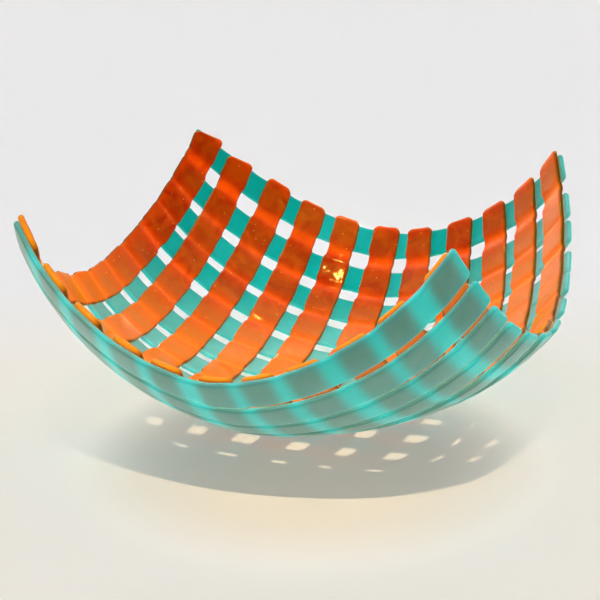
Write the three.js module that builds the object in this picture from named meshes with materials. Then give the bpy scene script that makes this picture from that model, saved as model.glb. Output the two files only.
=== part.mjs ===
// A square lattice bowl in kiln-formed glass. Eleven orange strips lie side by side over thirteen
// turquoise strips laid across them. The two layers are tacked together where they cross, and the
// flat lattice is then slumped into a round mould, so that its corners sweep up and the middles of
// its edges stay low. Millimetres, +Z up, +Y to the back, the foot on Z = 0 under the middle.

import * as THREE from 'three';

// The sheet glass, and the clearance left between the two tacked layers
const THICKNESS = 3;
const LAYER_GAP = 0.3;

// A strip's ends have their corners cut back by this much
const END_CUT = 2.5;

// The strips as they are laid out flat by hand, so that no two are quite alike. Orange runs from
// front to back and is listed from left to right. Turquoise runs from left to right and is listed
// from back to front. at is where the strip's middle line crosses the centre of the sheet, skew is
// how far its far end is set to the right or back of that, and bow is how far its middle is bent
// that way. near and far are its two ends.
const ORANGE_STRIPS = [
  { at: -139.5, skew: -2, bow: -2, width: 20.5, near: -147.5, far: 151 },
  { at: -111, skew: -3.5, bow: -1, width: 19, near: -149, far: 151.5 },
  { at: -81, skew: -2, bow: -2.5, width: 19, near: -150.5, far: 154 },
  { at: -53, skew: -2.5, bow: -2, width: 18.5, near: -149.5, far: 153 },
  { at: -27.5, skew: -2, bow: 0, width: 18, near: -149, far: 153 },
  { at: 1.5, skew: -2, bow: 0.5, width: 19, near: -149, far: 153.5 },
  { at: 25.5, skew: -1, bow: 5, width: 18, near: -148.5, far: 152 },
  { at: 53.5, skew: 2, bow: 4.5, width: 19, near: -148.5, far: 151 },
  { at: 82, skew: 2, bow: 5, width: 18.5, near: -149, far: 150.5 },
  { at: 109, skew: 3.5, bow: 0, width: 18.5, near: -150, far: 150 },
  { at: 138.5, skew: 1.5, bow: -2.5, width: 19, near: -149.5, far: 148.5 },
];
const TURQUOISE_STRIPS = [
  { at: 138.5, skew: -2.5, bow: 3.8, width: 16.5, near: -150.5, far: 150 },
  { at: 112, skew: -2, bow: 4, width: 16.5, near: -148, far: 150 },
  { at: 91.5, skew: -0.5, bow: 1.5, width: 16, near: -147.5, far: 150 },
  { at: 70, skew: -2, bow: 0.5, width: 16, near: -147.5, far: 149.5 },
  { at: 49, skew: 1.5, bow: -1, width: 17, near: -147.5, far: 149 },
  { at: 26.5, skew: 2, bow: -0.5, width: 16, near: -147.5, far: 149 },
  { at: 3, skew: 0.5, bow: 0, width: 16, near: -147.5, far: 149 },
  { at: -20, skew: 0, bow: 0, width: 16, near: -147.5, far: 149 },
  { at: -47, skew: 0.5, bow: -0.5, width: 16, near: -147.5, far: 149 },
  { at: -73.5, skew: 1.5, bow: -2, width: 16.5, near: -147.5, far: 149 },
  { at: -94.5, skew: 1.5, bow: -2, width: 17, near: -147, far: 149.5 },
  { at: -116, skew: 0, bow: -0.5, width: 18, near: -146.5, far: 150 },
  { at: -138.5, skew: -2, bow: -0.5, width: 19, near: -146, far: 149.5 },
];
const HALF_SHEET = 150;

// A crossing's corner is found by stepping between the two edges that meet there, this many times
const CROSSING_ROUNDS = 5;

// The mould's profile is a small flat foot, then a long curve. CORNER_EXPONENT is the norm that
// measures how far a point of the sheet is from its centre. Below 2 it takes the corners further up
// the mould than a circle would.
const FOOT_RADIUS = 24;
const BEND_PER_MM = 1 / 127.5;
const BEND_EASING = 0.08e-5;
const CORNER_EXPONENT = 1.73;
const PROFILE_STEPS = 16;

// The sheet didn't quite reach the mould at its corners: each opens out by its own extra easing
const CORNER_DROOP = {
  backLeft: 0.26e-5,
  frontLeft: 0.37e-5,
  backRight: 0.19e-5,
  frontRight: 0.23e-5,
};

// The back left corner also slid forward along its edge as it softened, and a little outwards
const CORNER_SLIP = { right: -4, back: -9, sharpness: 4 };

// The middle of the finished bowl's plan, measured from the centre of the sheet
const PLAN_MIDDLE = { x: -0.7, y: 0.6 };

// Slope of the sheet at an arc length beyond the foot, in radians
const slopeAt = (arc, easing) => arc * BEND_PER_MM - arc * arc * easing;

// How far the sheet runs out and rises over an arc length beyond the foot
function profileTo(arc, easing) {
  const step = arc / PROFILE_STEPS;
  let run = 0;
  let rise = 0;
  for (let i = 0; i < PROFILE_STEPS; i += 1) {
    const slope = slopeAt((i + 0.5) * step, easing);
    run += Math.cos(slope) * step;
    rise += Math.sin(slope) * step;
  }
  return { run, rise };
}

// How quickly the slope eases off on the way out to a point of the sheet: most on the diagonals
function easingTowards(u, v) {
  const left = v > 0 ? CORNER_DROOP.backLeft : CORNER_DROOP.frontLeft;
  const right = v > 0 ? CORNER_DROOP.backRight : CORNER_DROOP.frontRight;
  const diagonal = (2 * Math.abs(u * v)) / Math.max(u * u + v * v, 1);
  return BEND_EASING + (u < 0 ? left : right) * diagonal ** 2;
}

// Where a point of the flat sheet lies before it is bent, once the slipped corner is allowed for
function slipped(u, v) {
  const nearness = u < 0 && v > 0 ? (-u * v) / HALF_SHEET ** 2 : 0;
  const pull = nearness ** CORNER_SLIP.sharpness;
  return [u + CORNER_SLIP.right * pull, v + CORNER_SLIP.back * pull];
}

// Slump a point of the sheet into the mould. height is measured from between the two layers.
function slump(flatU, flatV, height) {
  const [u, v] = slipped(flatU, flatV);
  const powers = Math.abs(u) ** CORNER_EXPONENT + Math.abs(v) ** CORNER_EXPONENT;
  const reach = powers ** (1 / CORNER_EXPONENT);
  const arc = Math.max(reach - FOOT_RADIUS, 0);
  const easing = easingTowards(u, v);
  const { run, rise } = profileTo(arc, easing);
  const drawIn = arc > 0 ? (FOOT_RADIUS + run) / reach : 1;
  const slope = slopeAt(arc, easing);
  const lean = (height * Math.sin(slope)) / Math.max(Math.hypot(u, v), 1);
  return new THREE.Vector3(
    u * (drawIn - lean) - PLAN_MIDDLE.x,
    v * (drawIn - lean) - PLAN_MIDDLE.y,
    rise + height * Math.cos(slope) + THICKNESS + LAYER_GAP / 2,
  );
}

// How far across the sheet a strip's middle line lies, at a place along the strip
function middleLine(strip, along) {
  const t = along / HALF_SHEET;
  return strip.at + strip.skew * t + strip.bow * (1 - t * t);
}

// The corner of the patch where two strips cross, on one side of the orange strip (-1 left, 1
// right) and on one edge of the turquoise strip (-1 front, 1 back)
function crossingCorner(orange, side, turquoise, edge) {
  let u = orange.at;
  let v = turquoise.at;
  for (let i = 0; i < CROSSING_ROUNDS; i += 1) {
    v = middleLine(turquoise, u) + (edge * turquoise.width) / 2;
    u = middleLine(orange, v) + (side * orange.width) / 2;
  }
  return [u, v];
}

// Pairs of left and right points along an orange strip, looking to the back: its cut end, every
// edge of a turquoise strip below it, and its other cut end
function orangeStations(strip) {
  const cutEnd = (v) => {
    const middle = middleLine(strip, v);
    const half = strip.width / 2 - END_CUT;
    return { left: [middle - half, v], right: [middle + half, v] };
  };
  const stations = [cutEnd(strip.near)];
  for (const turquoise of [...TURQUOISE_STRIPS].reverse()) {
    for (const edge of [-1, 1]) {
      stations.push({
        left: crossingCorner(strip, -1, turquoise, edge),
        right: crossingCorner(strip, 1, turquoise, edge),
      });
    }
  }
  stations.push(cutEnd(strip.far));
  return stations;
}

// The same along a turquoise strip, looking to the right, so that its left is the back
function turquoiseStations(strip) {
  const cutEnd = (u) => {
    const middle = middleLine(strip, u);
    const half = strip.width / 2 - END_CUT;
    return { left: [u, middle + half], right: [u, middle - half] };
  };
  const stations = [cutEnd(strip.near)];
  for (const orange of ORANGE_STRIPS) {
    for (const side of [-1, 1]) {
      stations.push({
        left: crossingCorner(orange, side, strip, 1),
        right: crossingCorner(orange, side, strip, -1),
      });
    }
  }
  stations.push(cutEnd(strip.far));
  return stations;
}

// A strip of glass through a row of stations, between two heights: a box with one segment between
// each pair of stations, bent into the mould
function stripGeometry(stations, bottom, top) {
  const segments = stations.length - 1;
  const geometry = new THREE.BoxGeometry(1, 1, 1, segments, 1, 1);
  const position = geometry.getAttribute('position');
  for (let i = 0; i < position.count; i += 1) {
    const station = stations[Math.round((position.getX(i) + 0.5) * segments)];
    const [u, v] = position.getY(i) > 0 ? station.left : station.right;
    const place = slump(u, v, position.getZ(i) > 0 ? top : bottom);
    position.setXYZ(i, place.x, place.y, place.z);
  }
  geometry.computeVertexNormals();
  return geometry;
}

// One named mesh for each strip of a layer, numbered from 01
function addLayer(group, name, strips, stationsOf, bottom, material) {
  strips.forEach((strip, index) => {
    const geometry = stripGeometry(stationsOf(strip), bottom, bottom + THICKNESS);
    const mesh = new THREE.Mesh(geometry, new THREE.MeshStandardMaterial(material));
    mesh.name = `${name}_${String(index + 1).padStart(2, '0')}`;
    group.add(mesh);
  });
}

const orangeGlass = { color: 0xd9480b, roughness: 0.12, metalness: 0 };
const turquoiseGlass = { color: 0x3fb8ae, roughness: 0.3, metalness: 0 };

const bowl = new THREE.Group();
addLayer(bowl, 'orange_strip', ORANGE_STRIPS, orangeStations, LAYER_GAP / 2, orangeGlass);
addLayer(
  bowl,
  'turquoise_strip',
  TURQUOISE_STRIPS,
  turquoiseStations,
  -LAYER_GAP / 2 - THICKNESS,
  turquoiseGlass,
);

export default bowl;
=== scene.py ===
import math
from collections import namedtuple

import bpy
import numpy as np
from mathutils import Matrix, Vector


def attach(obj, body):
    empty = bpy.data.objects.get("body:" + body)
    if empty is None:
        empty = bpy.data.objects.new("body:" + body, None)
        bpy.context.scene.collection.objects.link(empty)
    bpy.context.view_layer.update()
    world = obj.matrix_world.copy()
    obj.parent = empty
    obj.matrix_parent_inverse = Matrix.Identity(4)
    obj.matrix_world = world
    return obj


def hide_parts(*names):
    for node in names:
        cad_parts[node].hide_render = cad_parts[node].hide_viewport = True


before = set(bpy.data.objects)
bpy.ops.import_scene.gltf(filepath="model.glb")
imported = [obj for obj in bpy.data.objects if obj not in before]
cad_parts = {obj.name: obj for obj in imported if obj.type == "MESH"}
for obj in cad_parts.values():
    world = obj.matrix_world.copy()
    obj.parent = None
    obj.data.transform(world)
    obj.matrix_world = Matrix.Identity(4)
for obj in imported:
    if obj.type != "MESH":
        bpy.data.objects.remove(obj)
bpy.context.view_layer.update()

# A square lattice bowl in kiln-formed glass: orange strips fused over turquoise strips laid across
# them, then slumped into a round mould. Each strip here stands for the CAD solid of the same name
# and follows the same mould. The tables and the mould are in millimetres, as in the CAD part.
MM = 0.001

THICKNESS = 3.0
LAYER_GAP = 0.3
HALF_SHEET = 150.0

# The middle of the finished bowl's plan, to the right and back of the centre of the sheet
PLAN_MIDDLE = (-0.7, 0.6)

# The strips as they are laid out flat. Orange runs from front to back and is listed from left to
# right. Turquoise runs from left to right and is listed from back to front. at is where a strip's
# middle line crosses the centre of the sheet, skew is how far its far end is set to the right or
# back of that, and bow is how far its middle is bent that way. near and far are its two ends.
Strip = namedtuple("Strip", "at skew bow width near far")
ORANGE_STRIPS = [
    Strip(-139.5, -2, -2, 20.5, -147.5, 151),
    Strip(-111, -3.5, -1, 19, -149, 151.5),
    Strip(-81, -2, -2.5, 19, -150.5, 154),
    Strip(-53, -2.5, -2, 18.5, -149.5, 153),
    Strip(-27.5, -2, 0, 18, -149, 153),
    Strip(1.5, -2, 0.5, 19, -149, 153.5),
    Strip(25.5, -1, 5, 18, -148.5, 152),
    Strip(53.5, 2, 4.5, 19, -148.5, 151),
    Strip(82, 2, 5, 18.5, -149, 150.5),
    Strip(109, 3.5, 0, 18.5, -150, 150),
    Strip(138.5, 1.5, -2.5, 19, -149.5, 148.5),
]
TURQUOISE_STRIPS = [
    Strip(138.5, -2.5, 3.8, 16.5, -150.5, 150),
    Strip(112, -2, 4, 16.5, -148, 150),
    Strip(91.5, -0.5, 1.5, 16, -147.5, 150),
    Strip(70, -2, 0.5, 16, -147.5, 149.5),
    Strip(49, 1.5, -1, 17, -147.5, 149),
    Strip(26.5, 2, -0.5, 16, -147.5, 149),
    Strip(3, 0.5, 0, 16, -147.5, 149),
    Strip(-20, 0, 0, 16, -147.5, 149),
    Strip(-47, 0.5, -0.5, 16, -147.5, 149),
    Strip(-73.5, 1.5, -2, 16.5, -147.5, 149),
    Strip(-94.5, 1.5, -2, 17, -147, 149.5),
    Strip(-116, 0, -0.5, 18, -146.5, 150),
    Strip(-138.5, -2, -0.5, 19, -146, 149.5),
]

# The mould's profile is a flat foot, then a long curve that eases off. CORNER_EXPONENT is the norm
# that measures how far a point of the sheet is from its centre. Below 2 it takes the corners
# further up the mould than a circle would.
FOOT_RADIUS = 24.0
BEND_PER_MM = 1 / 127.5
BEND_EASING = 0.08e-5
CORNER_EXPONENT = 1.73
PROFILE_STEPS = 16

# Each corner opens out by its own extra easing
CORNER_DROOP = {
    "back_left": 0.26e-5,
    "front_left": 0.37e-5,
    "back_right": 0.19e-5,
    "front_right": 0.23e-5,
}

# The back left corner also slid forward as it softened, and a little to the left
CORNER_SLIP = {"right": -4.0, "back": -9.0, "sharpness": 4}

# What the kiln does to each layer. edge is the radius that it melts onto the long edges, and corner
# the one at the cut ends' corners. spread is how far a strip is squashed out at each crossing. In an
# open gap it draws in by waist and sinks by sag, both shares of the gap's width. ease is how far from
# a crossing's edge it goes over from one width to the other. crown is how far its upper face is
# domed. ripple is how uneven its free face is, the one away from the other layer, and wobble how
# uneven its edges are. Where the other layer lies behind a strip, its colour is painted darker, as if
# seen through that layer: painted shade for the light that the other layer keeps back. This is full
# up to tint_from outside a crossing's edge, and fades out by tint_to.
ORANGE_KILN = {
    "edge": 1.35, "corner": 3.6, "spread": 0.15, "waist": 0.07, "sag": 0.16, "ease": 1.3,
    "crown": 0.25, "ripple": 0.1, "wobble": 0.2, "tint_from": -0.5, "tint_to": 3.5,
}
TURQUOISE_KILN = {
    "edge": 1.42, "corner": 2.4, "spread": 0.2, "waist": 0.0, "sag": 0.0, "ease": 2.0,
    "crown": 0.12, "ripple": 0.05, "wobble": 0.15, "tint_from": -4.5, "tint_to": 3.5,
}

# The most that a strip draws in and sinks, and the widths that a gap is taken to be within
MAX_WAIST = 1.3
MAX_SAG = 1.2
MIN_GAP = 1.0
MAX_GAP = 9.0

# A strip starts to sink this far inside a crossing's edge
SAG_LEAD = 1.0

# What is left between the two layers where they are tacked
TOUCH_GAP = 0.04

# Unevenness is a sum of sine waves, with these lengths along the edges and along the faces. Each
# wave runs faster along the strip by a random factor within WAVE_TURNS, and faster across it by
# WAVE_SLANT less WAVE_UNSLANT times that factor, so that no two are parallel.
EDGE_WAVES = (47.0, 29.0, 17.0)
FACE_WAVES = (31.0, 19.0, 11.0)
WAVE_TURNS = (0.85, 1.15)
WAVE_SLANT = 1.5
WAVE_UNSLANT = 0.9

# The glass is painted paler at the bottom and the front than on the back wall: painted light, for
# the room's glow and sheen on those faces. It depends on how far its inner face turns towards this
# side: up to PALE_FROM it isn't pale, and from PALE_TO fully
PALE_SIDE = np.array((-0.4, 1.0, 0.0))
PALE_FROM = -0.68
PALE_TO = -0.16

# Far ends that were cut askew: how much longer the strip's right side is than its middle, and over
# what length from the end the slant fades out
END_SLANTS = {"orange_strip_01": 4.0, "orange_strip_02": 2.5}
SLANT_LENGTH = 25.0

# Mesh resolution along a strip, across it and round its edge
RUNG_STEP = 1.2
ACROSS = 10
CORNER_STEPS = 6
EDGE_STEPS = 5

SEED = 11


# ---------------------------------------------------------------- mould

def smoothstep(t):
    t = np.clip(t, 0.0, 1.0)
    return t * t * (3 - 2 * t)


def slipped(u, v):
    """Where points of the flat sheet lie before it is bent, once the slipped corner is allowed for."""
    near_corner = np.where((u < 0) & (v > 0), -u * v / HALF_SHEET**2, 0.0)
    pull = near_corner ** CORNER_SLIP["sharpness"]
    return u + CORNER_SLIP["right"] * pull, v + CORNER_SLIP["back"] * pull


def easing_towards(u, v):
    """How quickly the slope eases off on the way out to points of the sheet: most on the diagonals."""
    diagonal = 2 * np.abs(u * v) / np.maximum(u * u + v * v, 1.0)
    left = np.where(v > 0, CORNER_DROOP["back_left"], CORNER_DROOP["front_left"])
    right = np.where(v > 0, CORNER_DROOP["back_right"], CORNER_DROOP["front_right"])
    return BEND_EASING + np.where(u < 0, left, right) * diagonal**2


def slump(flat_u, flat_v, height):
    """Places of points of the flat sheet once it is slumped, in metres."""
    u, v = slipped(flat_u, flat_v)
    powers = np.abs(u) ** CORNER_EXPONENT + np.abs(v) ** CORNER_EXPONENT
    reach = powers ** (1 / CORNER_EXPONENT)
    arc = np.maximum(reach - FOOT_RADIUS, 0.0)
    easing = easing_towards(u, v)

    def slope_at(distance):
        return distance * BEND_PER_MM - distance**2 * easing

    step = arc / PROFILE_STEPS
    slopes = np.stack([slope_at((k + 0.5) * step) for k in range(PROFILE_STEPS)])
    run = (np.cos(slopes) * step).sum(axis=0)
    rise = (np.sin(slopes) * step).sum(axis=0)
    slope = slope_at(arc)
    draw_in = np.where(arc > 0, (FOOT_RADIUS + run) / np.maximum(reach, FOOT_RADIUS), 1.0)
    lean = height * np.sin(slope) / np.maximum(np.hypot(u, v), 1.0)
    x = u * (draw_in - lean) - PLAN_MIDDLE[0]
    y = v * (draw_in - lean) - PLAN_MIDDLE[1]
    z = rise + height * np.cos(slope) + THICKNESS + LAYER_GAP / 2
    return np.stack([x, y, z], axis=-1) * MM


# ---------------------------------------------------------------- strips

def middle_line(strip, along):
    """How far across the sheet a strip's middle line lies, at a place along the strip."""
    t = along / HALF_SHEET
    return strip.at + strip.skew * t + strip.bow * (1 - t * t)


def beyond_crossings(crossed, along, across):
    """How far a point lies outside the nearest crossed strip, or below 0 on it, and its gap's width."""
    outside = np.stack([np.abs(along - middle_line(c, across)) - c.width / 2 for c in crossed])
    nearest = np.sort(outside, axis=0)[:2]
    return nearest[0], np.clip(nearest.sum(axis=0), MIN_GAP, MAX_GAP)


def waves(rng, lengths):
    """A smooth random curve of height about 1, made of one sine for each wavelength."""
    phases = rng.uniform(0, 2 * math.pi, len(lengths))
    turns = rng.uniform(*WAVE_TURNS, len(lengths))

    def curve(x, y=0.0):
        parts = [
            np.sin(2 * math.pi * (x * turn + y * (WAVE_SLANT - WAVE_UNSLANT * turn)) / length + phase)
            for length, turn, phase in zip(lengths, turns, phases)
        ]
        return sum(parts) / math.sqrt(len(lengths))

    return curve


def rung_rows(strip, kiln):
    """Each rung's place along the strip, how far its ends are drawn in, and how the rim turns there."""
    edge = kiln["edge"]
    inner = kiln["corner"] - edge
    turn = np.linspace(0, math.pi / 2, CORNER_STEPS + 1)
    first = strip.near + edge + inner * (1 - np.cos(turn))
    last = strip.far - edge - inner * (1 - np.cos(turn))
    count = int(round((last[-1] - first[-1]) / RUNG_STEP))
    middle = np.linspace(first[-1], last[-1], count + 1)[1:-1]
    straight = np.zeros(len(middle))
    corner = inner * (1 - np.sin(turn))
    along = np.concatenate([first, middle, last[::-1]])
    drawn = np.concatenate([corner, straight, corner[::-1]])
    facing = np.concatenate([turn - math.pi / 2, straight, math.pi / 2 - turn[::-1]])
    return along, drawn, facing


def edge_profile(edge):
    """The rounded edge between the two faces, from the top: how far it stands out, and its height."""
    turn = np.linspace(math.pi / 2, 0, EDGE_STEPS + 1)
    flat = THICKNESS / 2 - edge
    out = edge * np.cos(turn)
    up = flat + edge * np.sin(turn)
    out = np.concatenate([out, out[::-1]])
    rise = THICKNESS / 2 + np.concatenate([up, -up[::-1]])
    return out[1:-1], rise[1:-1]


def rim_loop(facing):
    """The way round a strip: rungs and columns of the face's edge, and how the rim turns and faces."""
    count = len(facing)
    rungs = np.arange(count)
    inner = np.arange(1, ACROSS)
    last_rung = np.full(ACROSS - 1, count - 1)
    first_rung = np.zeros(ACROSS - 1, int)
    far_end = np.full(ACROSS - 1, math.pi / 2)
    endways = np.zeros(ACROSS - 1)
    # Up the left side, across the far end, down the right side, across the near end
    rows = np.concatenate([rungs, last_rung, rungs[::-1], first_rung])
    columns = np.concatenate([np.zeros(count, int), inner, np.full(count, ACROSS), inner[::-1]])
    turn = np.concatenate([facing, far_end, facing[::-1], -far_end])
    side = np.concatenate([-np.cos(facing), endways, np.cos(facing[::-1]), endways])
    return rows, columns, turn, side


def strip_points(strip, crossed, kiln, rng):
    """A strip's skin as (along, across from its middle line, height), with its marks and its faces."""
    along, drawn, facing = rung_rows(strip, kiln)
    edge = kiln["edge"]
    left_wobble = waves(rng, EDGE_WAVES)
    right_wobble = waves(rng, EDGE_WAVES)

    def half_width(side, wobble):
        reach = side * strip.width / 2
        outside, gap = beyond_crossings(crossed, along, middle_line(strip, along) + reach)
        open_here = smoothstep((outside + kiln["ease"]) / (2 * kiln["ease"]))
        waist = np.minimum(kiln["waist"] * gap, MAX_WAIST)
        half = strip.width / 2 + kiln["spread"] - (kiln["spread"] + waist) * open_here
        return half - edge - drawn + kiln["wobble"] * wobble(along)

    left = -half_width(-1, left_wobble)
    right = half_width(1, right_wobble)
    share = np.linspace(0, 1, ACROSS + 1)
    face_across = left[:, None] + (right - left)[:, None] * share
    face_along = np.repeat(along[:, None], ACROSS + 1, axis=1)
    face = [face_along.ravel(), face_across.ravel()]
    size = face_along.size

    rows, columns, turn, side = rim_loop(facing)
    out, rise = edge_profile(edge)
    rim_along = face_along[rows, columns][:, None] + np.sin(turn)[:, None] * out
    rim_across = face_across[rows, columns][:, None] + side[:, None] * out
    rim_height = np.broadcast_to(rise, rim_along.shape)

    points = np.concatenate([
        np.stack([*face, np.full(size, THICKNESS)], axis=-1),
        np.stack([*face, np.zeros(size)], axis=-1),
        np.stack([rim_along.ravel(), rim_across.ravel(), rim_height.ravel()], axis=-1),
    ])
    from_middle = np.tile(share * 2 - 1, len(along))
    points[:size, 2] += kiln["crown"] * (1 - from_middle**2) ** 2
    bulge = (out / edge) ** 2
    on_faces = np.zeros(2 * size)
    marks = {
        # The long sides, which the orange material paints dark: partly the dark line where orange meets
        # turquoise, partly painted shade
        "long_side": np.concatenate([on_faces, (np.abs(side)[:, None] * bulge).ravel()]),
        # The cut ends, which the orange material paints bright as painted light
        "cut_end": np.concatenate([on_faces, (np.abs(np.sin(turn))[:, None] * bulge).ravel()]),
    }
    faces = skin_faces(len(along), rows * (ACROSS + 1) + columns, len(out))
    return points, marks, faces


def skin_faces(count, loop, arcs):
    """Quads of the top face, the bottom face and the rim between them."""
    size = count * (ACROSS + 1)
    grid = np.arange(size).reshape(count, ACROSS + 1)
    quads = np.stack([grid[:-1, :-1], grid[:-1, 1:], grid[1:, 1:], grid[1:, :-1]], axis=-1).reshape(-1, 4)
    length = len(loop)
    rim = 2 * size + np.arange(length * arcs).reshape(length, arcs)
    ring = np.concatenate([loop[:, None], rim, loop[:, None] + size], axis=1)
    after = np.roll(ring, -1, axis=0)
    sides = np.stack([ring[:, :-1], after[:, :-1], after[:, 1:], ring[:, 1:]], axis=-1).reshape(-1, 4)
    return np.concatenate([quads, quads[:, ::-1] + size, sides])


def build_strip(name, strip, crossed, kiln, layer, material):
    """One strip of glass: its skin, laid in the sheet, softened by the kiln and slumped."""
    rng = np.random.default_rng([SEED, layer["order"], len(bpy.data.meshes)])
    points, marks, faces = strip_points(strip, crossed, kiln, rng)
    along, across, height = points.T
    slant = END_SLANTS.get(name, 0.0) * smoothstep(1 - (strip.far - along) / SLANT_LENGTH)
    along = along + slant * across / (strip.width / 2)
    sheet_across = middle_line(strip, along) + across
    outside, gap = beyond_crossings(crossed, along, sheet_across)

    depth = np.minimum(kiln["sag"] * gap, MAX_SAG)
    sink = smoothstep((outside + SAG_LEAD) / (gap / 2 + SAG_LEAD)) * depth
    to_top = height / THICKNESS
    to_free_face = to_top if layer["free_face"] == "top" else 1 - to_top
    ripple = kiln["ripple"] * waves(rng, FACE_WAVES)(along, across)
    lift = layer["bottom"] + height - sink + ripple * to_free_face
    u, v = (sheet_across, along) if layer["runs"] == "back" else (along, sheet_across)
    vertices = slump(u, v, lift)

    upwards = (slump(u, v, lift + 1) - vertices) / MM
    facing = upwards @ PALE_SIDE
    # Painted shade: over_strip marks where the other layer lies behind, which the materials paint darker
    reach = kiln["tint_to"] - kiln["tint_from"]
    marks["over_strip"] = 1 - smoothstep((outside - kiln["tint_from"]) / reach)
    marks["mould_face"] = 1 - to_top
    # Painted light: pale marks how far the inner face turns to the bright side, which the materials paint
    # paler
    marks["pale"] = smoothstep((facing - PALE_FROM) / (PALE_TO - PALE_FROM))
    mesh = make_mesh(name, vertices, faces, marks)
    mesh.materials.append(material)
    piece = bpy.data.objects.new(name, mesh)
    bpy.context.scene.collection.objects.link(piece)
    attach(piece, "root")
    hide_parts(name)


def make_mesh(name, vertices, faces, marks):
    """A smooth closed mesh. Each mark is a number on every point, which a material reads by name."""
    mesh = bpy.data.meshes.new(name)
    mesh.from_pydata(vertices.tolist(), [], faces.tolist())
    mesh.validate()
    mesh.shade_smooth()
    for mark, values in marks.items():
        attribute = mesh.attributes.new(mark, "FLOAT", "POINT")
        attribute.data.foreach_set("value", values.astype(np.float32))
    if signed_volume(vertices, faces) < 0:
        mesh.flip_normals()
    return mesh


def signed_volume(vertices, faces):
    """Six times the volume inside a closed skin, or below 0 if its faces point inwards."""
    a, b, c, d = (vertices[faces[:, k]] for k in range(4))
    first = np.einsum("ij,ij->i", a, np.cross(b, c))
    second = np.einsum("ij,ij->i", a, np.cross(c, d))
    return (first + second).sum()


# ---------------------------------------------------------------- materials

# What both glasses have in common
GLASS_IOR = 1.52
GLASS_TRANSMISSION = 0.38
SHEEN_ROUGHNESS = 0.3

# The orange glass: each pair is the darker and the brighter part of its mottle
ORANGE_OPEN = ((0.70, 0.045, 0.0), (0.88, 0.09, 0.0))
# Painted shade: the darker colours where turquoise lies behind
ORANGE_CROSSING = ((0.42, 0.014, 0.0), (0.60, 0.045, 0.0))
# Painted light: the paler colours for faces turned to the bright side
ORANGE_PALE_OPEN = (0.95, 0.23, 0.01)
ORANGE_PALE_CROSSING = (0.88, 0.185, 0.01)
# Dark long sides: partly the dark line where the orange meets the turquoise, partly painted shade
ORANGE_SIDE = (0.07, 0.032, 0.0)
# Painted light: the bright colour of the cut ends
ORANGE_END = (1.0, 0.34, 0.01)
ORANGE_GLOSS = (1.0, 0.5, 0.05)
ORANGE_SHEEN = 0.7
ORANGE_SHEEN_COLOUR = (1.0, 0.62, 0.0)
ORANGE_ROUGHNESS = (0.06, 0.13)
ORANGE_BUMP = 0.0004

# Its seed bubbles: how many lie in a metre, their radius as a share of the distance between them,
# how far they stand out next to the glass's other unevenness, and the colour of the painted glints
# on them
BUBBLE_SCALE = 210
BUBBLE_RADIUS = 0.10
BUBBLE_HEIGHT = 2.5
BUBBLE_GLINT_COLOUR = (1.0, 0.62, 0.12)

# The turquoise glass: each pair is the darker and the brighter part of its clouding
TURQUOISE_DEEP = ((0.0, 0.26, 0.21), (0.0, 0.30, 0.25))
# Painted light: the paler inside colours for faces turned to the bright side
TURQUOISE_PALE = ((0.13, 0.37, 0.31), (0.19, 0.44, 0.38))
# Painted light: the face that lay on the mould is painted much lighter than the inside, a lit copy of the
# same glass
TURQUOISE_BELOW = ((0.03, 0.66, 0.62), (0.05, 0.72, 0.68))
# Painted shade: the mould face is darker and greyer where orange lies behind
TURQUOISE_BELOW_CROSSING = ((0.08, 0.28, 0.24), (0.11, 0.33, 0.29))
TURQUOISE_GLOSS = (0.1, 1.0, 0.95)
TURQUOISE_SHEEN = 0.3
TURQUOISE_SHEEN_COLOUR = (1.0, 0.88, 0.72)
GLOSSY_FACE = 0.08
SATIN_FACE = 0.40
TURQUOISE_BUMP = 0.0002

# A Map Range node's ends, and the sockets of a Mix node that carry colours
MAP_ENDS = ("From Min", "From Max", "To Min", "To Max")
MIX_FIRST = 6
MIX_SECOND = 7
MIX_RESULT = 2


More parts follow.
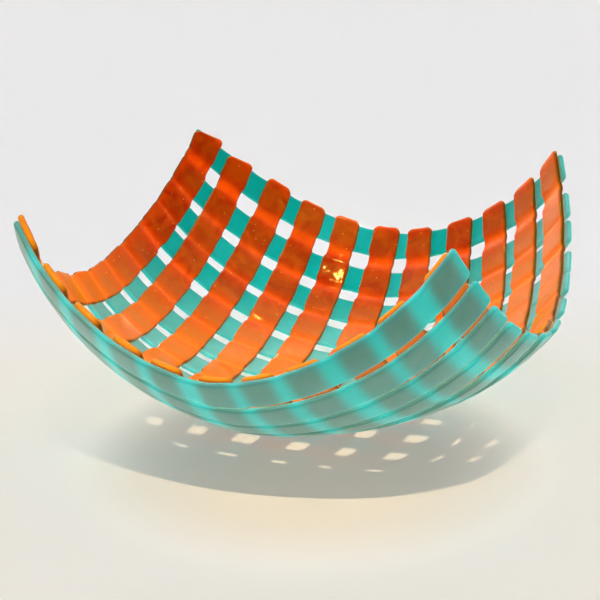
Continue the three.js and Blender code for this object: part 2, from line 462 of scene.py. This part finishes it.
class Nodes:
    """Short calls for building one material's node tree round its Principled shader."""

    def __init__(self, name):
        self.material = bpy.data.materials.new(name)
        self.material.use_nodes = True
        self.tree = self.material.node_tree
        self.shader = self.tree.nodes["Principled BSDF"]
        self.place = self.add("ShaderNodeTexCoord").outputs["Object"]

    def add(self, kind, **settings):
        node = self.tree.nodes.new(kind)
        for key, value in settings.items():
            setattr(node, key, value)
        return node

    def link(self, source, socket):
        self.tree.links.new(source, socket)

    def attribute(self, name):
        return self.add("ShaderNodeAttribute", attribute_name=name).outputs["Fac"]

    def noise(self, scale, detail=2.0, distortion=0.0):
        node = self.add("ShaderNodeTexNoise")
        node.inputs["Scale"].default_value = scale
        node.inputs["Detail"].default_value = detail
        node.inputs["Distortion"].default_value = distortion
        self.link(self.place, node.inputs["Vector"])
        return node.outputs["Fac"]

    def remap(self, source, low, high, to_low=0.0, to_high=1.0, kind="LINEAR"):
        node = self.add("ShaderNodeMapRange", interpolation_type=kind)
        self.link(source, node.inputs["Value"])
        for socket, value in zip(MAP_ENDS, (low, high, to_low, to_high)):
            node.inputs[socket].default_value = value
        return node.outputs["Result"]

    def mix(self, factor, first, second):
        node = self.add("ShaderNodeMix", data_type="RGBA")
        self.link(factor, node.inputs["Factor"])
        for socket, colour in ((node.inputs[MIX_FIRST], first), (node.inputs[MIX_SECOND], second)):
            if isinstance(colour, tuple):
                socket.default_value = (*colour, 1.0)
            else:
                self.link(colour, socket)
        return node.outputs[MIX_RESULT]

    def math(self, operation, first, second):
        node = self.add("ShaderNodeMath", operation=operation)
        for socket, value in zip(node.inputs, (first, second)):
            if isinstance(value, (int, float)):
                socket.default_value = value
            else:
                self.link(value, socket)
        return node.outputs[0]

    def vector_math(self, operation, source, other):
        node = self.add("ShaderNodeVectorMath", operation=operation)
        self.link(source, node.inputs[0])
        node.inputs[1].default_value = other
        return node.outputs["Value"]

    def finish(self, gloss, sheen, sheen_colour):
        """The numbers that are the same all over the surface."""
        self.shader.inputs["IOR"].default_value = GLASS_IOR
        self.shader.inputs["Transmission Weight"].default_value = GLASS_TRANSMISSION
        self.shader.inputs["Specular Tint"].default_value = (*gloss, 1.0)
        self.shader.inputs["Sheen Weight"].default_value = sheen
        self.shader.inputs["Sheen Roughness"].default_value = SHEEN_ROUGHNESS
        self.shader.inputs["Sheen Tint"].default_value = (*sheen_colour, 1.0)

    def bubbles(self, height):
        """Small round spots that fade out from the given height at their middles."""
        node = self.add("ShaderNodeTexVoronoi", feature="F1")
        node.inputs["Scale"].default_value = BUBBLE_SCALE
        self.link(self.place, node.inputs["Vector"])
        return self.remap(node.outputs["Distance"], 0.0, BUBBLE_RADIUS, height, 0.0)

    def bump(self, height, distance, strength):
        node = self.add("ShaderNodeBump")
        node.inputs["Strength"].default_value = strength
        node.inputs["Distance"].default_value = distance
        self.link(height, node.inputs["Height"])
        self.link(node.outputs["Normal"], self.shader.inputs["Normal"])


def orange_glass():
    """Glossy orange glass with seed bubbles, painted brightest where light comes through it alone."""
    n = Nodes("orange_glass")
    mottle = n.remap(n.noise(scale=95, detail=3, distortion=0.9), 0.35, 0.65)
    # Painted shade: darker where turquoise lies behind
    at_crossing = n.attribute("over_strip")
    deep = n.mix(at_crossing, n.mix(mottle, *ORANGE_OPEN), n.mix(mottle, *ORANGE_CROSSING))
    # Painted light: paler where the inner face turns to the bright side
    pale = n.mix(at_crossing, ORANGE_PALE_OPEN, ORANGE_PALE_CROSSING)
    body = n.mix(n.attribute("pale"), deep, pale)
    # Painted highlight: glints painted on the seed bubbles
    with_glints = n.mix(n.bubbles(1.0), body, BUBBLE_GLINT_COLOUR)
    # The long sides are painted dark: partly the dark line where they meet the turquoise, partly painted
    # shade
    sides = n.mix(n.attribute("long_side"), with_glints, ORANGE_SIDE)
    # Painted light: the cut ends are painted bright
    ends = n.mix(n.attribute("cut_end"), sides, ORANGE_END)
    n.link(ends, n.shader.inputs["Base Color"])
    haze = n.remap(n.noise(scale=60), 0.3, 0.7, *ORANGE_ROUGHNESS)
    n.link(haze, n.shader.inputs["Roughness"])
    uneven = n.noise(scale=190, detail=1.5, distortion=0.8)
    n.bump(n.math("ADD", uneven, n.bubbles(BUBBLE_HEIGHT)), ORANGE_BUMP, strength=0.22)
    n.finish(ORANGE_GLOSS, ORANGE_SHEEN, ORANGE_SHEEN_COLOUR)
    return n.material


def turquoise_glass():
    """Translucent turquoise glass, glossy inside the bowl and satin where it lay on the mould."""
    n = Nodes("turquoise_glass")
    cloud = n.remap(n.noise(scale=70, detail=3, distortion=0.3), 0.3, 0.7)
    # Painted light: the inside is paler where it turns to the bright side
    inside = n.mix(n.attribute("pale"), n.mix(cloud, *TURQUOISE_DEEP), n.mix(cloud, *TURQUOISE_PALE))
    # Painted shade: the mould face is darker and greyer where orange lies behind
    at_crossing = n.mix(cloud, *TURQUOISE_BELOW_CROSSING)
    below = n.mix(n.attribute("over_strip"), n.mix(cloud, *TURQUOISE_BELOW), at_crossing)
    mould_face = n.attribute("mould_face")
    # Painted light: the mould face takes the lighter outside colours
    n.link(n.mix(mould_face, inside, below), n.shader.inputs["Base Color"])
    n.link(n.remap(mould_face, 0.0, 1.0, GLOSSY_FACE, SATIN_FACE), n.shader.inputs["Roughness"])
    n.bump(n.noise(scale=420), TURQUOISE_BUMP, strength=0.3)
    n.finish(TURQUOISE_GLOSS, TURQUOISE_SHEEN, TURQUOISE_SHEEN_COLOUR)
    return n.material


# ---------------------------------------------------------------- the bowl

def build_bowl():
    orange = orange_glass()
    turquoise = turquoise_glass()
    over = {"order": 0, "bottom": TOUCH_GAP / 2, "free_face": "top", "runs": "back"}
    under = {"order": 1, "bottom": -TOUCH_GAP / 2 - THICKNESS, "free_face": "bottom", "runs": "right"}
    for k, strip in enumerate(ORANGE_STRIPS, 1):
        name = f"orange_strip_{k:02d}"
        build_strip(name, strip, TURQUOISE_STRIPS, ORANGE_KILN, over, orange)
    for k, strip in enumerate(TURQUOISE_STRIPS, 1):
        name = f"turquoise_strip_{k:02d}"
        build_strip(name, strip, ORANGE_STRIPS, TURQUOISE_KILN, under, turquoise)


# ---------------------------------------------------------------- stage, lights and camera

# From here on, lengths are in metres, and only the lens and the sensor are in millimetres. The view
# is from the front and a little to the right, and from somewhat above.
VIEW_AZIMUTH = math.radians(21.69)
VIEW_ELEVATION = math.radians(18.12)
VIEW_ROLL = math.radians(-0.50)
VIEW_DISTANCE = 0.7822
LOOK_AT = Vector((-0.0061, 0.0013, 0.0561))
LENS = 88.06
SENSOR = 36.0

# The floor is cream in front, and turns to grey over FLOOR_TURN behind the bowl's middle
FLOOR_HALF = 14.0
FLOOR_CREAM = (0.53, 0.51, 0.475)
FLOOR_GREY = (0.53, 0.53, 0.54)
FLOOR_TURN = (0.05, 0.20)
FLOOR_ROUGHNESS = 0.7

# The room is brightest behind the bowl and to its left. Its light goes from the least to the most
# as a direction turns to that side, over ROOM_TURN of its component that way.
BRIGHT_SIDE = (-0.62, 0.72, 0.3)
ROOM_COLOUR = (1.0, 0.96, 0.88)
ROOM_LEAST = 0.21
ROOM_MOST = 0.62
ROOM_TURN = (-0.4, 0.8)

# Broad fill lights: where each shines from, and how strongly. The bowl casts no shadow in them, as
# thin glass lets most light through.
FILLS = {
    "overhead_fill": ((0.05, -0.2, 1.0), 1.9),
    "front_fill": ((0.15, -1.0, 0.25), 1.0),
    "back_left_fill": ((-0.6, 0.75, 0.35), 1.2),
    "left_fill": ((-1.0, -0.1, 0.45), 0.65),
    "right_fill": ((1.0, 0.1, 0.45), 0.8),
}
FILL_ANGLE = math.radians(90)

# A round beam from beside the key light falls on the floor alone. The floor is darker there by just
# as much, so that the beam shows only as a deeper shadow below the bowl. BEAM_SHARE is how strong
# it is at its middle, as a share of all the other light there.
BEAM_PLACE = Vector((0.026, -0.065, 0.0))
BEAM_RADIUS = 0.12
BEAM_SHARE = 1.0
BEAM_POWER = 9300.0
BEAM_COLOUR = (1.0, 0.8, 0.5)
BEAM_SOURCE = 0.015

# A warm spot, for the light that orange glass lets through to the floor in front of the bowl
GLOW_PLACE = Vector((0.043, -0.112, 0.0))
GLOW_RADIUS = 0.075
GLOW_HEIGHT = 0.4
GLOW_COLOUR = (1.0, 0.42, 0.0)
GLOW_POWER = 1.2
GLOW_SOURCE = 0.02

# The key light is a small lamp far overhead and a little to the front, so that the bowl's shadow
# and the gaps in it have clear edges
KEY_DIRECTION = Vector((0.097, -0.222, 1.0))
KEY_DISTANCE = 12.0
KEY_SIZE = (0.6, 0.1)
KEY_POWER = 130.0


def make_camera():
    flat = math.cos(VIEW_ELEVATION)
    across = math.sin(VIEW_AZIMUTH) * flat
    back = Vector((across, -math.cos(VIEW_AZIMUTH) * flat, math.sin(VIEW_ELEVATION)))
    right = (-back).cross(Vector((0, 0, 1))).normalized()
    up = right.cross(-back)
    upright = Matrix((right, up, back)).transposed().to_4x4()
    data = bpy.data.cameras.new("view")
    data.lens = LENS
    data.sensor_width = SENSOR
    camera = bpy.data.objects.new("view", data)
    placed = Matrix.Translation(LOOK_AT + back * VIEW_DISTANCE) @ upright
    camera.matrix_world = placed @ Matrix.Rotation(VIEW_ROLL, 4, "Z")
    bpy.context.scene.collection.objects.link(camera)
    bpy.context.scene.camera = camera


def make_floor():
    mesh = bpy.data.meshes.new("floor")
    h = FLOOR_HALF
    mesh.from_pydata([(-h, -h, 0), (h, -h, 0), (h, h, 0), (-h, h, 0)], [], [(0, 1, 2, 3)])
    n = Nodes("floor")
    behind = n.vector_math("DOT_PRODUCT", n.place, (-math.sin(VIEW_AZIMUTH), math.cos(VIEW_AZIMUTH), 0))
    pale = n.mix(n.remap(behind, *FLOOR_TURN), FLOOR_CREAM, FLOOR_GREY)
    # Painted shade: the floor is darkened under the beam by as much as the beam brightens it
    from_beam = n.math("POWER", n.vector_math("DISTANCE", n.place, BEAM_PLACE), 2.0)
    light = n.remap(from_beam, 0.0, BEAM_RADIUS**2, 1.0 + BEAM_SHARE, 1.0, kind="SMOOTHSTEP")
    shade = n.add("ShaderNodeVectorMath", operation="SCALE")
    n.link(pale, shade.inputs[0])
    n.link(n.math("DIVIDE", 1.0, light), shade.inputs["Scale"])
    n.link(shade.outputs["Vector"], n.shader.inputs["Base Color"])
    n.shader.inputs["Roughness"].default_value = FLOOR_ROUGHNESS
    n.shader.inputs["Specular IOR Level"].default_value = 0.0
    mesh.materials.append(n.material)
    floor = bpy.data.objects.new("floor", mesh)
    bpy.context.scene.collection.objects.link(floor)
    return floor


def make_room():
    """Soft light from all round, stronger from the room's bright side."""
    world = bpy.data.worlds.new("studio")
    world.use_nodes = True
    nodes = world.node_tree.nodes
    links = world.node_tree.links
    side = nodes.new("ShaderNodeVectorMath")
    side.operation = "DOT_PRODUCT"
    side.inputs[1].default_value = BRIGHT_SIDE
    links.new(nodes.new("ShaderNodeTexCoord").outputs["Generated"], side.inputs[0])
    level = nodes.new("ShaderNodeMapRange")
    level.interpolation_type = "SMOOTHSTEP"
    links.new(side.outputs["Value"], level.inputs["Value"])
    for socket, value in zip(MAP_ENDS, (*ROOM_TURN, ROOM_LEAST, ROOM_MOST)):
        level.inputs[socket].default_value = value
    background = nodes["Background"]
    background.inputs["Color"].default_value = (*ROOM_COLOUR, 1.0)
    links.new(level.outputs["Result"], background.inputs["Strength"])
    bpy.context.scene.world = world


def hang_lamp(light, direction, distance=0.0, place=(0.0, 0.0, 0.0)):
    """Put a light where it shines from a direction, at a distance from a place."""
    lamp = bpy.data.objects.new(light.name, light)
    lamp.location = Vector(place) + direction.normalized() * distance
    lamp.rotation_euler = direction.to_track_quat("Z", "Y").to_euler()
    bpy.context.scene.collection.objects.link(lamp)
    return lamp


def make_key():
    key = bpy.data.lights.new("key", "AREA")
    key.shape = "RECTANGLE"
    key.size, key.size_y = KEY_SIZE
    key.energy = KEY_POWER
    hang_lamp(key, KEY_DIRECTION, KEY_DISTANCE)


def floor_only(floor):
    """A collection of just the floor, for a light that falls on or is blocked by nothing else."""
    group = bpy.data.collections.new("floor_only")
    group.objects.link(floor)
    return group


def make_spot(name, power, colour, source, radius, distance, direction, place):
    """A spot light that makes a soft-edged round patch at a place on the floor."""
    spot = bpy.data.lights.new(name, "SPOT")
    spot.energy = power
    spot.color = colour
    spot.shadow_soft_size = source
    spot.spot_size = 2 * math.atan(radius / distance)
    spot.spot_blend = 1.0
    return hang_lamp(spot, direction, distance, place)


def make_beam(on_floor):
    look = (BEAM_POWER, BEAM_COLOUR, BEAM_SOURCE)
    lamp = make_spot("beam", *look, BEAM_RADIUS, KEY_DISTANCE, KEY_DIRECTION, BEAM_PLACE)
    lamp.light_linking.receiver_collection = on_floor


def make_glow(on_floor):
    look = (GLOW_POWER, GLOW_COLOUR, GLOW_SOURCE)
    lamp = make_spot("glow", *look, GLOW_RADIUS, GLOW_HEIGHT, Vector((0, 0, 1)), GLOW_PLACE)
    lamp.light_linking.receiver_collection = on_floor
    lamp.light_linking.blocker_collection = on_floor


def make_fills(on_floor):
    for name, (direction, strength) in FILLS.items():
        fill = bpy.data.lights.new(name, "SUN")
        fill.energy = strength
        fill.angle = FILL_ANGLE
        # Only with this off does the light pass through the bowl
        fill.cycles.use_multiple_importance_sampling = False
        lamp = hang_lamp(fill, Vector(direction))
        lamp.light_linking.blocker_collection = on_floor


make_camera()
build_bowl()
ground = floor_only(make_floor())
make_room()
make_key()
make_beam(ground)
make_glow(ground)
make_fills(ground)
bpy.context.scene.view_settings.view_transform = "Standard"
